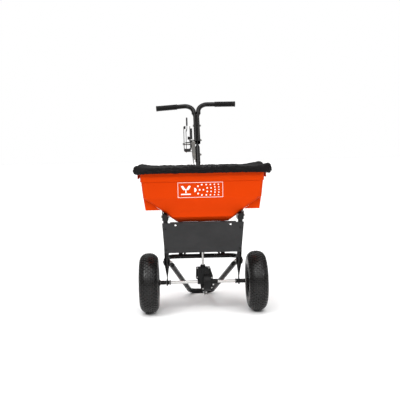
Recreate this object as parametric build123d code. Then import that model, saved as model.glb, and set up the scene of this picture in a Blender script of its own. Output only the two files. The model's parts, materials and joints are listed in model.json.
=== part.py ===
from build123d import *
import math
import os

# Walk-behind broadcast spreader. Millimetres, +Z up, -Y the way it drives. Left and right are as
# seen from the front, so right is +X. Everything is drawn about the axle (Y = 0, ground at Z = 0),
# and save() moves it so that the stored origin is the centre of the machine's footprint.
AXLE_Y = -332.3

# wheels and axle
AXLE_Z = 165.0
AXLE_R = 7.95
AXLE_HALF = 345.0
WHEEL_X = 296.0
TYRE_R = 165.0
TYRE_WIDTH = 106.0
TYRE_DEEP = 96.0
TYRE_CORNER = 46.0
TYRE_WALL = 8.0
RIM_SEAT_R = 76.2
RIM_FLANGE_R = 86.0
RIM_HALF = 40.0
RIM_SHEET = 3.0
HUB_R = 17.0
HUB_INNER, HUB_OUTER = -59.0, 34.0
WHEEL_BOLT_CIRCLE = 50.0
WHEEL_PIN_X = 318.0
GEAR_PIN_X = 30.0

# running fits
RUNNING = 0.05
BOLT_GAP = 0.15

# frame tubes
TUBE_R = 12.7
TUBE_WALL = 1.8
BLADE = 4.5
BLADE_WIDTH = 36.0
SIDE_X = 196.0
LEAN = 24.6
SIDE_TOP = 440.0
BRACKET_LOW = 408.0
BRACKET_BOLT = 424.0
BRACKET_SHEET = 3.0
JOINT_ALONG = 137.5
LOOP_X = 200.0
LOOP_Y = 112.0
LOOP_Z = 290.0
STAND_R = 14.3
STAND_FOOT_Y = 436.0
STAND_FOOT_HALF = 66.0
STRAP_X, STRAP_WIDTH = 16.0, 20.0
STRAP_BOLT_Z = 106.0
STRAP_Z = 2 * STAND_R + 1.7

# hopper: height, half width, half depth and corner radius of each outer section
HOPPER_SECTIONS = (
    (517.0, 137.0, 135.0, 24.0),
    (545.0, 172.0, 163.0, 28.0),
    (578.0, 213.0, 165.0, 30.0),
    (647.0, 309.0, 185.0, 36.0),
    (731.0, 318.0, 193.0, 40.0),
    (732.5, 321.0, 196.0, 42.0),
    (796.0, 324.0, 201.0, 44.0),
)
HOPPER_WALL = 5.0
HOPPER_FLOOR = 4.0
HOPPER_BOTTOM = HOPPER_SECTIONS[0][0]
HOPPER_TOP = HOPPER_SECTIONS[-1][0]
RIM_X, RIM_Y, RIM_CORNER = 337.0, 215.0, 52.0
WING_Y = 152.0
WING_BOTTOM = 582.0
WING_LEAN = 10.0
WING_WALL = 4.0

# metering
SHAFT_R = 6.25
SHAFT_BOTTOM, SHAFT_TOP = 188.0, 566.0
PORT_R = 11.0
PORTS = ((-40.0, -45.0), (40.0, -45.0), (0.0, -60.0))
GATE_TRAVEL = 25.88
GATE_THICK = 2.2
GATE_HALF = 62.0
GATE_FRONT, GATE_REAR = -80.0, 104.0
ROD_R = 3.0
ROD_Z = 505.0
IMPELLER_R = 118.0
IMPELLER_Z = 440.0
VANES = 6

# bevel gears with their cones' common point on the axle's axis, under the impeller shaft
MODULE = 2.5
GEAR_TEETH, PINION_TEETH = 36, 12
CONE = MODULE / 2 * math.hypot(GEAR_TEETH, PINION_TEETH)
FACE_WIDTH = 14.0
ADDENDUM, DEDENDUM = 2.0, 2.9
TOOTH_AT_PITCH = 3.4
FLANK = math.tan(math.radians(20))

# front shield
SHIELD_LOW, SHIELD_HIGH = 205.0, 392.0
SHIELD_HALF_LOW, SHIELD_HALF_HIGH = 206.0, 214.0
SHIELD_SHEET = 2.0
SHIELD_HOLE_X = 144.0
SHIELD_HOLE_R = 5.5
SHIELD_HOLE_ALONG = 378.0

# handle: distances along it are measured from the middle of the rear loop's back bar; the two
# bars sit turned a little in the stem, the left one lower
HANDLE_RISE = 50.0
LOWER_R = 14.3
BAR_R = 15.0
STEM_LOW, STEM_HIGH, ROUND_FROM = 841.0, 1075.0, 1092.0
STEM_X, STEM_WIDE, STEM_DEEP = 11.05, 18.0, 36.6
STEM_BLADE = 4.0
BAR_ALONG = 1170.7
BAR_X = 15.05
BAR_BEND = 62.0
BAR_END = 262.0
BAR_DROOP = 2.1
BAR_TILT = 2.0
BAR_LIFT = 4.0
GRIP_R = 18.5
GRIP_LENGTH = 140.0
HANDLE_BOLTS = (741.0, 861.0, 985.0)

# flow control
CHANNEL_LEFT, CHANNEL_RIGHT = -85.0, -45.0
CHANNEL_LOW, CHANNEL_HIGH = 779.0, 971.0
CHANNEL_STRAP = 4.5
CHANNEL_WALL = CHANNEL_STRAP / 2 + 0.1
CHANNEL_DEEP = 24.0
PIVOT_ALONG = 830.0
LEVER_X = -71.0
LEVER_TIP_X = -64.0
LEVER_SHEET = 4.0
LEVER_WIDE = 16.0
LEVER_TOP = 1038.0
LEVER_ARM = 50.0
LEVER_SWING = 30.0
STOP_ALONG = 880.0

# cover
COVER_X, COVER_Y, COVER_CORNER = 343.0, 221.0, 58.0
COVER_LOW, COVER_HIGH = 770.0, 812.0
COVER_GAP = 0.5


# ---- helpers ----

def save(name, *solids):
    """Write the solids of one sub-part to parts/NAME.step, in the stored frame."""
    placed = [Pos(0, AXLE_Y, 0) * solid for solid in solids]
    shape = placed[0] if len(placed) == 1 else Compound(placed)
    export_step(shape, f"parts/{name}.step")


def both(solid):
    """The solid and its mirror image on the other side of the machine."""
    return [solid, mirror(solid, about=Plane.YZ)]


def bar(start, end, radius):
    """A round bar from one point to another."""
    run = Vector(*end) - Vector(*start)
    place = Plane(origin=start, z_dir=run)
    return place * Cylinder(radius, run.length, align=(Align.CENTER, Align.CENTER, Align.MIN))


def ring(outer, inner, start, end):
    """A round sleeve between two points."""
    run = (Vector(*end) - Vector(*start)).normalized()
    return bar(start, end, outer) - bar(Vector(*start) - run, Vector(*end) + run, inner)


def bent_tube(points, radius, outer=TUBE_R, wall=TUBE_WALL):
    """A round tube along points, with one bend radius."""
    path = FilletPolyline(*points, radius=radius)
    section = Circle(outer) - Circle(outer - wall)
    return sweep(Plane(origin=path @ 0, z_dir=path % 0) * section, path=path)


def straight_tube(start, end, outer=TUBE_R, wall=TUBE_WALL):
    """A straight round tube."""
    return ring(outer, outer - wall, start, end)


def slab(width, depth, low, high, corner):
    """An upright block with rounded corners, centred on the machine's middle."""
    return Pos(0, 0, low) * extrude(RectangleRounded(width, depth, corner), high - low)


def across(profile, low, high):
    """A profile drawn in Y and Z, carried along X from low to high."""
    return Pos(low, 0, 0) * extrude(Plane.YZ * profile, high - low)


def bolt(seat, direction, grip, tail, radius=4.0, nut=True):
    """A hexagon bolt whose head sits on seat, and its nut grip further on, with tail to spare."""
    place = Plane(origin=seat, z_dir=direction)
    head = Pos(0, 0, -1.3 * radius) * extrude(RegularPolygon(1.85 * radius, 6), 1.3 * radius)
    low = (Align.CENTER, Align.CENTER, Align.MIN)
    shank = Cylinder(radius, grip + tail, align=low)
    pieces = [place * (head + shank)]
    if nut:
        hexagon = RegularPolygon(1.85 * radius, 6) - Circle(radius + RUNNING)
        pieces.append(place * (Pos(0, 0, grip) * extrude(hexagon, 1.6 * radius)))
    return pieces


def frame_point(along, x=0.0, out=0.0):
    """A point along the side frames' lean from the axle, out towards the front."""
    lean = math.radians(LEAN)
    y = -along * math.sin(lean) - out * math.cos(lean)
    z = AXLE_Z + along * math.cos(lean) - out * math.sin(lean)
    return (x, y, z)


def frame_plane(along, x=0.0, out=0.0):
    """A plane square to the side frames, its x axis along X."""
    return Plane(origin=frame_point(along, x, out), x_dir=(1, 0, 0), z_dir=frame_up())


def frame_up():
    return (0, -math.sin(math.radians(LEAN)), math.cos(math.radians(LEAN)))


def frame_out():
    return (0, -math.cos(math.radians(LEAN)), -math.sin(math.radians(LEAN)))


def handle_point(along, x=0.0, above=0.0):
    """A point along the handle, above is square to it and towards the front."""
    rise = math.radians(HANDLE_RISE)
    y = LOOP_Y + along * math.cos(rise) - above * math.sin(rise)
    z = LOOP_Z + along * math.sin(rise) + above * math.cos(rise)
    return (x, y, z)


def handle_up():
    return (0, math.cos(math.radians(HANDLE_RISE)), math.sin(math.radians(HANDLE_RISE)))


def handle_above():
    return (0, -math.sin(math.radians(HANDLE_RISE)), math.cos(math.radians(HANDLE_RISE)))


def handle_plane(along, x=0.0):
    """A plane square to the handle, its x axis along X."""
    return Plane(origin=handle_point(along, x), x_dir=(1, 0, 0), z_dir=handle_up())


def handle_face(above=0.0):
    """The plane of X and the handle's length, facing the front."""
    return Plane(origin=handle_point(0, 0, above), x_dir=(1, 0, 0), z_dir=invert(handle_above()))


def handle_side(x):
    """The plane of the handle's length (its x axis) and handle_above (its y axis)."""
    return Plane(origin=handle_point(0, x), x_dir=handle_up(), z_dir=(1, 0, 0))


def invert(direction):
    return tuple(-value for value in direction)


def hole(point, radius, reach=60.0, direction=(1, 0, 0)):
    """A cutter centred on point, along direction."""
    step = Vector(*direction) * reach
    return bar(Vector(*point) - step, Vector(*point) + step, radius)


# ---- wheels ----

def rim_half(inner):
    """One pressed half of the split rim, drawn with the wheel's outer side towards +X."""
    side = -1 if inner else 1
    web = (
        (0, HUB_R if inner else HUB_R + BOLT_GAP),
        (0, RIM_SEAT_R),
        (side * RIM_HALF, RIM_SEAT_R),
        (side * RIM_HALF, RIM_FLANGE_R),
        (side * (RIM_HALF + RIM_SHEET), RIM_FLANGE_R),
        (side * (RIM_HALF + RIM_SHEET), RIM_SEAT_R - RIM_SHEET),
        (side * RIM_SHEET, RIM_SEAT_R - RIM_SHEET),
        (side * RIM_SHEET, HUB_R if inner else HUB_R + BOLT_GAP),
    )
    half = revolve(make_face(Polyline(*web, close=True)), Axis.X)
    for angle in range(45, 360, 90):
        half -= Rot(angle, 0, 0) * hole((0, 0, WHEEL_BOLT_CIRCLE), 4 + BOLT_GAP, 10)
    return half


def wheel_hub(bore):
    return ring(HUB_R, bore, (HUB_INNER, 0, 0), (HUB_OUTER, 0, 0))


def tyre():
    """A hollow tyre, open to the rim, whose beads sit inside the rim's flanges."""
    outer = RectangleRounded(TYRE_WIDTH, TYRE_DEEP, TYRE_CORNER)
    inside = (TYRE_WIDTH - 2 * TYRE_WALL, TYRE_DEEP - 2 * TYRE_WALL)
    outer -= RectangleRounded(*inside, TYRE_CORNER - TYRE_WALL)
    flange = 2 * (RIM_HALF + RIM_SHEET)
    section = Pos(0, TYRE_R - TYRE_DEEP / 2) * outer
    section -= Pos(0, RIM_FLANGE_R / 2) * Rectangle(flange, RIM_FLANGE_R)
    for side in (-1, 1):
        section += Pos(side * (RIM_HALF - 3), (RIM_SEAT_R + 92) / 2) * Rectangle(6, 92 - RIM_SEAT_R)
    return revolve(section, Axis.X)


def wheel_bolts():
    pieces = []
    for angle in range(45, 360, 90):
        seat = (RIM_SHEET, 0, WHEEL_BOLT_CIRCLE)
        pair = bolt(seat, (-1, 0, 0), 2 * RIM_SHEET, 9)
        pieces += [Rot(angle, 0, 0) * piece for piece in pair]
    return pieces


def valve():
    stem = bar((RIM_SHEET, 0, 66), (30, 0, 66), 2.6)
    cap = bar((24, 0, 66), (34, 0, 66), 3.8)
    return stem + cap


def build_wheels():
    right = Pos(WHEEL_X, 0, AXLE_Z)
    pin = hole((WHEEL_PIN_X, 0, AXLE_Z), 2.5 + BOLT_GAP, 30, (0, 0, 1))
    save("drive_wheel_inner_rim", right * (rim_half(True) + wheel_hub(AXLE_R)) - pin)
    save("drive_wheel_outer_rim", right * rim_half(False))
    save("drive_wheel_tyre", right * tyre())
    save("drive_wheel_bolts", *[right * piece for piece in wheel_bolts()])
    save("drive_wheel_valve", right * valve())

    free_rim = rim_half(True) + wheel_hub(11.5)
    save("free_wheel_inner_rim", mirror(right * free_rim, about=Plane.YZ))
    save("free_wheel_outer_rim", mirror(right * rim_half(False), about=Plane.YZ))
    save("free_wheel_tyre", mirror(right * tyre(), about=Plane.YZ))
    save("free_wheel_bolts", *[mirror(right * piece, about=Plane.YZ) for piece in wheel_bolts()])
    save("free_wheel_valve", mirror(right * valve(), about=Plane.YZ))
    bushings = []
    for mouth, inward in ((-WHEEL_X - HUB_OUTER, 1), (-WHEEL_X - HUB_INNER, -1)):
        body = ring(11.5, AXLE_R + RUNNING, (mouth, 0, AXLE_Z), (mouth + 18 * inward, 0, AXLE_Z))
        lip = ring(15, AXLE_R + RUNNING, (mouth - 2 * inward, 0, AXLE_Z), (mouth, 0, AXLE_Z))
        bushings.append(body + lip)
    save("free_wheel_bushings", *bushings)


# ---- axle ----

def build_axle():
    axle = bar((-AXLE_HALF, 0, AXLE_Z), (AXLE_HALF, 0, AXLE_Z), AXLE_R)
    for x in (GEAR_PIN_X, WHEEL_PIN_X):
        axle -= hole((x, 0, AXLE_Z), 2.5 + BOLT_GAP, 30, (0, 0, 1))
    axle -= hole((-338, 0, AXLE_Z), 1.6 + BOLT_GAP, 30, (0, 0, 1))
    save("axle", axle)

    collar = ring(13, AXLE_R, (178.5, 0, AXLE_Z), (185.5, 0, AXLE_Z))
    sleeve = ring(11, AXLE_R, (202.5, 0, AXLE_Z), (234.5, 0, AXLE_Z))
    save("axle_collars", *both(collar))
    save("axle_spacers", *both(sleeve))

    gear_pin = bar((GEAR_PIN_X, 0, AXLE_Z - 20), (GEAR_PIN_X, 0, AXLE_Z + 20), 2.5)
    wheel_pin = bar((WHEEL_PIN_X, 0, AXLE_Z - 21), (WHEEL_PIN_X, 0, AXLE_Z + 21), 2.5)
    cotter = bar((-338, 0, AXLE_Z - 13), (-338, 0, AXLE_Z + 13), 1.6)
    save("axle_pins", gear_pin, wheel_pin, cotter)
    save("end_washer", ring(16, AXLE_R, (-336.2, 0, AXLE_Z), (-333.2, 0, AXLE_Z)))

    bearing = ring(11, AXLE_R + RUNNING, (186.5, 0, AXLE_Z), (201.5, 0, AXLE_Z))
    bearing += ring(18, 10, (SIDE_X + BLADE / 2, 0, AXLE_Z), (201.5, 0, AXLE_Z))
    save("axle_bearings", *both(bearing))


# ---- bevel gears ----

def tooth_section(distance, cone_angle):
    """A tooth's section square to its pitch line, at a distance from the cones' point."""
    scale = distance / CONE
    tip = TOOTH_AT_PITCH / 2 - ADDENDUM * FLANK
    root = TOOTH_AT_PITCH / 2 + DEDENDUM * FLANK
    deep = DEDENDUM + 0.8
    corners = ((-root, deep), (root, deep), (tip, -ADDENDUM), (-tip, -ADDENDUM))
    profile = make_face(Polyline(*[(x * scale, y * scale) for x, y in corners], close=True))
    line = (math.sin(cone_angle), 0, math.cos(cone_angle))
    place = Plane(origin=Vector(*line) * distance, x_dir=(0, 1, 0), z_dir=line)
    return (place * profile).face()


def bevel_gear(teeth, cone_angle, bore, back, phase):
    """A straight bevel gear about +Z, with its cone's point at the origin."""
    near = CONE - FACE_WIDTH
    corners = []
    for distance in (near, CONE):
        drop = DEDENDUM * distance / CONE
        radius = distance * math.sin(cone_angle) - drop * math.cos(cone_angle)
        height = distance * math.cos(cone_angle) + drop * math.sin(cone_angle)
        corners.append((radius, height))
    (low_r, low_z), (high_r, high_z) = corners
    outline = ((bore, low_z), (low_r, low_z), (high_r, high_z), (high_r, back), (bore, back))
    blank = revolve(Plane.XZ * make_face(Polyline(*outline, close=True)), Axis.Z)
    tooth = loft([tooth_section(near, cone_angle), tooth_section(CONE, cone_angle)], ruled=True)
    step = 360 / teeth
    return blank.fuse(*[Rot(0, 0, phase + index * step) * tooth for index in range(teeth)])


def build_gears():
    gear_angle = math.atan2(GEAR_TEETH, PINION_TEETH)
    gear = bevel_gear(GEAR_TEETH, gear_angle, AXLE_R, 24.0, 0)
    gear += ring(17, AXLE_R, (0, 0, 23), (0, 0, 37))
    facing = Plane(origin=(0, 0, AXLE_Z), x_dir=(0, 0, 1), z_dir=(1, 0, 0))
    gear = facing * gear
    gear -= hole((GEAR_PIN_X, 0, AXLE_Z), 2.5 + BOLT_GAP, 30, (0, 0, 1))
    save("bevel_gear", gear)

    half_tooth = 180 / PINION_TEETH
    pinion = bevel_gear(PINION_TEETH, math.pi / 2 - gear_angle, SHAFT_R, 60.0, half_tooth)
    pinion = Pos(0, 0, AXLE_Z) * pinion
    pinion -= hole((0, 0, 219), 2 + BOLT_GAP, 30)
    save("bevel_pinion", pinion)


# ---- gearbox ----

def gearbox_screw_places():
    return ((-31.2, 243.0), (33.6, 243.0), (-33.0, 191.0), (49.0, 187.0), (47.2, 131.0), (-1.5, 126.0))


def gearbox_outside():
    upper = Polyline((-26, 247), (27, 247), (40, 200), (38, 160), (-14, 160), (-26, 196), close=True)
    body = extrude(Plane.XZ * make_face(upper), 23, both=True)
    body = fillet(body.edges().filter_by(Axis.Y), 5)
    flange = Polyline(
        (-38, 250), (39, 250), (55, 196), (53, 122), (40, 112),
        (0, 112), (-12, 122), (-18, 165), (-40, 186),
        close=True,
    )
    plate = extrude(Plane.XZ * make_face(flange), 3, both=True)
    plate = fillet(plate.edges().filter_by(Axis.Y), 5)
    chamber = bar((4, 0, AXLE_Z), (41.5, 0, AXLE_Z), 51.3)
    boss = bar((0, 0, 230), (0, 0, 259), 14)
    hubs = bar((-30, 0, AXLE_Z), (81, 0, AXLE_Z), 14)
    lug = Pos(STRAP_X, 0, 106) * Box(STRAP_WIDTH, 6, 18)
    ribs = Pos(0, 0, 212) * Box(3, 52, 60)
    for x in (-14, 14):
        ribs += Pos(x, 0, 218) * Box(3, 50, 48)
    return body + plate + chamber + boss + hubs + lug + ribs


def build_gearbox():
    housing = gearbox_outside()
    housing -= bar((7, 0, AXLE_Z), (38.5, 0, AXLE_Z), 48.3)
    housing -= bar((0, 0, 176), (0, 0, 232), 19.5)
    housing -= hole((0, 0, AXLE_Z), 11.5, 100)
    housing -= hole((0, 0, 250), 10, 30, (0, 0, 1))
    for x, z in gearbox_screw_places():
        housing -= hole((x, 0, z), 2.5 + BOLT_GAP, 30, (0, 1, 0))
    housing -= hole((STRAP_X, 0, STRAP_BOLT_Z), 3 + BOLT_GAP, 30, (0, 1, 0))
    save("gearbox_front_half", split(housing, bisect_by=Plane.XZ, keep=Keep.TOP))
    save("gearbox_rear_half", split(housing, bisect_by=Plane.XZ, keep=Keep.BOTTOM))

    screws = []
    for x, z in gearbox_screw_places():
        screws += bolt((x, -3, z), (0, 1, 0), 6, 3, radius=2.5)
    save("gearbox_screws", *screws)

    shaft_bushing = ring(10, SHAFT_R + RUNNING, (0, 0, 238), (0, 0, 259))
    shaft_bushing += ring(12.5, 9, (0, 0, 259), (0, 0, 261))
    left = ring(11.5, AXLE_R + RUNNING, (-30, 0, AXLE_Z), (-12, 0, AXLE_Z))
    right = ring(11.5, AXLE_R + RUNNING, (60, 0, AXLE_Z), (81, 0, AXLE_Z))
    save("gearbox_bushings", shaft_bushing, left, right)

    foot = STAND_FOOT_Y
    run = FilletPolyline((4.6, 113), (4.6, 90), (foot - 18, STRAP_Z), (foot + 16, STRAP_Z), radius=9)
    strap = across(trace(run, line_width=3), STRAP_X - STRAP_WIDTH / 2, STRAP_X + STRAP_WIDTH / 2)
    strap -= hole((STRAP_X, 0, STRAP_BOLT_Z), 3 + BOLT_GAP, 30, (0, 1, 0))
    strap -= hole((STRAP_X, foot, STRAP_Z), 3 + BOLT_GAP, 30, (0, 0, 1))
    save("gearbox_strap", strap)
    strap_bolts = bolt((STRAP_X, -3, STRAP_BOLT_Z), (0, 1, 0), 9.1, 3, radius=3.0)
    strap_bolts += bolt((STRAP_X, foot, STRAP_Z + 1.5), (0, 0, -1), 3, 3, radius=3.0, nut=False)
    save("strap_bolts", *strap_bolts)


# ---- impeller ----

def build_impeller():
    shaft = bar((0, 0, SHAFT_BOTTOM), (0, 0, SHAFT_TOP), SHAFT_R)
    shaft -= hole((0, 0, 219), 2 + BOLT_GAP, 30)
    shaft -= hole((0, 0, 432), 2 + BOLT_GAP, 30)
    shaft -= hole((0, 0, 540), 2 + BOLT_GAP, 30)
    save("impeller_shaft", shaft)

    disc = ring(IMPELLER_R, SHAFT_R, (0, 0, IMPELLER_Z), (0, 0, IMPELLER_Z + 3))
    disc += ring(16, SHAFT_R, (0, 0, IMPELLER_Z - 16), (0, 0, IMPELLER_Z + 22))
    disc += ring(IMPELLER_R, IMPELLER_R - 3, (0, 0, IMPELLER_Z - 3), (0, 0, IMPELLER_Z + 3))
    for index in range(VANES):
        vane = Pos(64, 6, IMPELLER_Z + 14) * Rot(0, 0, 8) * Box(100, 3, 24)
        disc += Rot(0, 0, index * 360 / VANES) * vane
    disc &= bar((0, 0, IMPELLER_Z - 30), (0, 0, IMPELLER_Z + 40), IMPELLER_R)
    disc -= hole((0, 0, 432), 2 + BOLT_GAP, 30)
    save("impeller", disc)

    pinion_pin = bar((-13.5, 0, 219), (13.5, 0, 219), 2)
    impeller_pin = bar((-17.5, 0, 432), (17.5, 0, 432), 2)
    save("shaft_pins", pinion_pin, impeller_pin)
    wire = FilletPolyline((-62, 0, 566), (-44, 0, 540), (44, 0, 540), (62, 0, 566), radius=8)
    save("agitator", sweep(Plane(origin=wire @ 0, z_dir=wire % 0) * Circle(2), path=wire))


# ---- hopper ----

def hopper_shape(inset, low):
    """The tub's outline, drawn in by inset and cut off below low."""
    sections = []
    for z, half_x, half_y, corner in HOPPER_SECTIONS:
        outline = RectangleRounded(2 * (half_x - inset), 2 * (half_y - inset), corner - inset)
        sections.append((Pos(0, 0, z) * outline).face())
    tub = loft(sections, ruled=True)
    if low > HOPPER_BOTTOM:
        tub -= Pos(0, 0, HOPPER_BOTTOM) * Box(800, 800, 2 * (low - HOPPER_BOTTOM))
    return tub


def side_slope(z):
    """The tub's outer half width at a height on its sloping sides."""
    (low_z, low_x), (high_z, high_x) = [(row[0], row[1]) for row in HOPPER_SECTIONS[2:4]]
    return low_x + (z - low_z) * (high_x - low_x) / (high_z - low_z)


def wing():
    """The skirt on one side, which closes the corner between the slope and the side wall."""
    top = HOPPER_SECTIONS[3][0]
    outer_top, outer_low = side_slope(top), side_slope(top) - WING_LEAN
    outline = ((side_slope(WING_BOTTOM), WING_BOTTOM), (outer_low, WING_BOTTOM), (outer_top, top))
    block = extrude(Plane.XZ * make_face(Polyline(*outline, close=True)), WING_Y, both=True)
    hollow = (
        (side_slope(WING_BOTTOM) - 40, WING_BOTTOM - 30), (outer_low - WING_WALL, WING_BOTTOM - 30),
        (outer_low - WING_WALL, WING_BOTTOM), (outer_top - WING_WALL, top), (outer_top - 8, top),
    )
    inside = extrude(Plane.XZ * make_face(Polyline(*hollow, close=True)), WING_Y - WING_WALL, both=True)
    return block - inside


def hopper_rim():
    """The flange round the tub's mouth, with a lip that reaches lower at the sides."""
    ring_outer = RectangleRounded(2 * RIM_X, 2 * RIM_Y, RIM_CORNER)
    lip = ring_outer - RectangleRounded(2 * RIM_X - 6, 2 * RIM_Y - 6, RIM_CORNER - 3)
    flange = ring_outer - RectangleRounded(2 * 320, 2 * 197, 40)
    rim = Pos(0, 0, HOPPER_TOP - 3) * extrude(flange, 3)
    rim += Pos(0, 0, 770) * extrude(lip, HOPPER_TOP - 770)
    deep_lip = Pos(0, 0, 746) * extrude(lip, 30)
    rim += deep_lip & (Pos(0, 0, 760) * Box(800, 290, 60))
    return rim


def build_hopper():
    tub = hopper_shape(0, HOPPER_BOTTOM) + hopper_rim()
    for side in both(wing()):
        tub += side
    tub -= hopper_shape(HOPPER_WALL, HOPPER_BOTTOM + HOPPER_FLOOR)
    tub -= hole((0, 0, HOPPER_BOTTOM), 12, 20, (0, 0, 1))
    for x, y in PORTS:
        tub -= hole((x, y, HOPPER_BOTTOM), PORT_R, 20, (0, 0, 1))
    save("hopper", tub)

    bushing = ring(12, SHAFT_R + RUNNING, (0, 0, HOPPER_BOTTOM), (0, 0, HOPPER_BOTTOM + 8))
    bushing += ring(17, 10, (0, 0, HOPPER_BOTTOM + HOPPER_FLOOR), (0, 0, HOPPER_BOTTOM + 8))
    save("hopper_bushing", bushing)

    outer = Pos(GATE_HALF + 2.6, -5, HOPPER_BOTTOM - 2.2) * Box(4, 180, 4.4)
    lip = Pos(GATE_HALF - 0.6, -5, HOPPER_BOTTOM - 3.6) * Box(10, 180, 1.6)
    save("gate_guides", *both(outer + lip))


def build_cover():
    cover = slab(2 * COVER_X, 2 * COVER_Y, COVER_LOW, COVER_HIGH, COVER_CORNER)
    inside_x, inside_y = 2 * (RIM_X + COVER_GAP), 2 * (RIM_Y + COVER_GAP)
    cover -= slab(inside_x, inside_y, COVER_LOW - 1, HOPPER_TOP + COVER_GAP, RIM_CORNER)
    save("hopper_cover", cover)


# ---- frame ----

def side_frame():
    """One leaning tube, with its lower end flattened round the axle's bearing."""
    round_from, flat_to = 115.0, 35.0
    tube = straight_tube(frame_point(round_from, SIDE_X), frame_point(SIDE_TOP, SIDE_X))
    blade_section = RectangleRounded(BLADE, BLADE_WIDTH, BLADE / 2 - 0.05)
    taper = loft([
        (frame_plane(flat_to, SIDE_X) * blade_section).face(),
        (frame_plane(round_from, SIDE_X) * Circle(TUBE_R)).face(),
    ])
    blade = extrude(frame_plane(0, SIDE_X) * blade_section, flat_to)
    eye = bar((SIDE_X - BLADE / 2, 0, AXLE_Z), (SIDE_X + BLADE / 2, 0, AXLE_Z), BLADE_WIDTH / 2)
    frame = tube + taper + blade + eye
    frame -= hole((SIDE_X, 0, AXLE_Z), 11, 30)
    frame -= hole(frame_point(JOINT_ALONG, SIDE_X), 4 + BOLT_GAP, 30)
    for along in (SHIELD_LOW + 20, SHIELD_HIGH - 34):
        frame -= hole(frame_point(along, SIDE_X), 3 + BOLT_GAP, 30, frame_out())
    frame -= hole(frame_point(BRACKET_BOLT, SIDE_X), 4 + BOLT_GAP, 30)
    return frame


def rear_loop():
    """The U-shaped tube behind the side frames, its ends flattened on their outer sides."""
    start = -14.0
    ends = SIDE_X + TUBE_R + BLADE / 2
    ways = ((-LOOP_X, start), (-LOOP_X, LOOP_Y), (LOOP_X, LOOP_Y), (LOOP_X, start))
    loop = bent_tube([(x, y, LOOP_Z) for x, y in ways], 55)
    joint = frame_point(JOINT_ALONG, ends)
    flat_y = joint[1] + 16
    section = RectangleRounded(BLADE, BLADE_WIDTH, BLADE / 2 - 0.05)
    forward = dict(x_dir=(1, 0, 0), z_dir=(0, -1, 0))
    taper = loft([
        (Plane(origin=(LOOP_X, start, LOOP_Z), **forward) * Circle(TUBE_R)).face(),
        (Plane(origin=(ends, flat_y, LOOP_Z), **forward) * section).face(),
    ])
    tab = extrude(Plane(origin=(ends, flat_y, LOOP_Z), **forward) * section, 16)
    half = Vector(BLADE / 2, 0, 0)
    tab += bar(Vector(*joint) - half, Vector(*joint) + half, BLADE_WIDTH / 2)
    for end in both(taper + tab):
        loop += end
    loop -= hole(joint, 4 + BOLT_GAP, 2 * LOOP_X + 60)
    return loop


def rest_stand():
    """The V-shaped stand, which reaches the ground behind the wheels."""
    inside = SIDE_X - TUBE_R - BLADE / 2
    joint = Vector(*frame_point(JOINT_ALONG, inside))
    foot = Vector(STAND_FOOT_HALF, STAND_FOOT_Y, STAND_R)
    run = (foot - joint).normalized()
    start = joint + run * 58
    legs = [start, foot, Vector(-foot.X, foot.Y, foot.Z), Vector(-start.X, start.Y, start.Z)]
    stand = bent_tube([tuple(point) for point in legs], 45, STAND_R)
    flat_run = Vector(0, run.Y, run.Z).normalized()
    flat = joint + flat_run * 18
    section = RectangleRounded(BLADE_WIDTH, BLADE, BLADE / 2 - 0.05)
    side = flat_run.cross(Vector(1, 0, 0))
    taper = loft([
        (Plane(origin=flat, x_dir=side, z_dir=flat_run) * section).face(),
        (Plane(origin=start, x_dir=side, z_dir=run) * Circle(STAND_R)).face(),
    ])
    tab = extrude(Plane(origin=joint, x_dir=side, z_dir=flat_run) * section, 18)
    half = Vector(BLADE / 2, 0, 0)
    tab += bar(joint - half, joint + half, BLADE_WIDTH / 2)
    for end in both(taper + tab):
        stand += end
    stand -= hole(tuple(joint), 4 + BOLT_GAP, 2 * LOOP_X + 60)
    stand -= bar((STRAP_X, STAND_FOOT_Y, STAND_R), (STRAP_X, STAND_FOOT_Y, 40), 3 + BOLT_GAP)
    return stand


def front_shield():
    """A flat steel sheet on the front of the side frames, with a narrow flange along its top."""
    face = Plane(origin=frame_point(0, 0, TUBE_R), x_dir=(1, 0, 0), z_dir=frame_out())
    up = -1 if face.y_dir.Z < 0 else 1
    outline = (
        (-SHIELD_HALF_LOW, up * SHIELD_LOW), (SHIELD_HALF_LOW, up * SHIELD_LOW),
        (SHIELD_HALF_HIGH, up * SHIELD_HIGH), (-SHIELD_HALF_HIGH, up * SHIELD_HIGH),
    )
    sheet = extrude(face * make_face(Polyline(*outline, close=True)), SHIELD_SHEET)
    flange = Pos(0, 4 - TUBE_R) * Rectangle(344, 12)
    sheet += extrude(frame_plane(SHIELD_HIGH) * flange, -SHIELD_SHEET)
    for x in (-SHIELD_HOLE_X, SHIELD_HOLE_X):
        sheet -= hole(frame_point(SHIELD_HOLE_ALONG, x, TUBE_R), SHIELD_HOLE_R, 20, frame_out())
    for x in (-SIDE_X, SIDE_X):
        for along in (SHIELD_LOW + 20, SHIELD_HIGH - 34):
            sheet -= hole(frame_point(along, x, TUBE_R), 3 + BOLT_GAP, 20, frame_out())
    return sheet


def shield_bolts():
    pieces = []
    for x in (-SIDE_X, SIDE_X):
        for along in (SHIELD_LOW + 20, SHIELD_HIGH - 34):
            seat = Vector(*frame_point(along, x, TUBE_R + SHIELD_SHEET))
            inward = Vector(*invert(frame_out()))
            pieces.append(bar(seat - inward * 2.2, seat, 6) + bar(seat, seat + inward * 32, 3))
    return pieces


def lower_slope(x):
    """The height of the tub's outer surface on its lower sloping sides."""
    (low_z, low_x), (high_z, high_x) = [(row[0], row[1]) for row in HOPPER_SECTIONS[1:3]]
    return low_z + (x - low_x) * (high_z - low_z) / (high_x - low_x)


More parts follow.
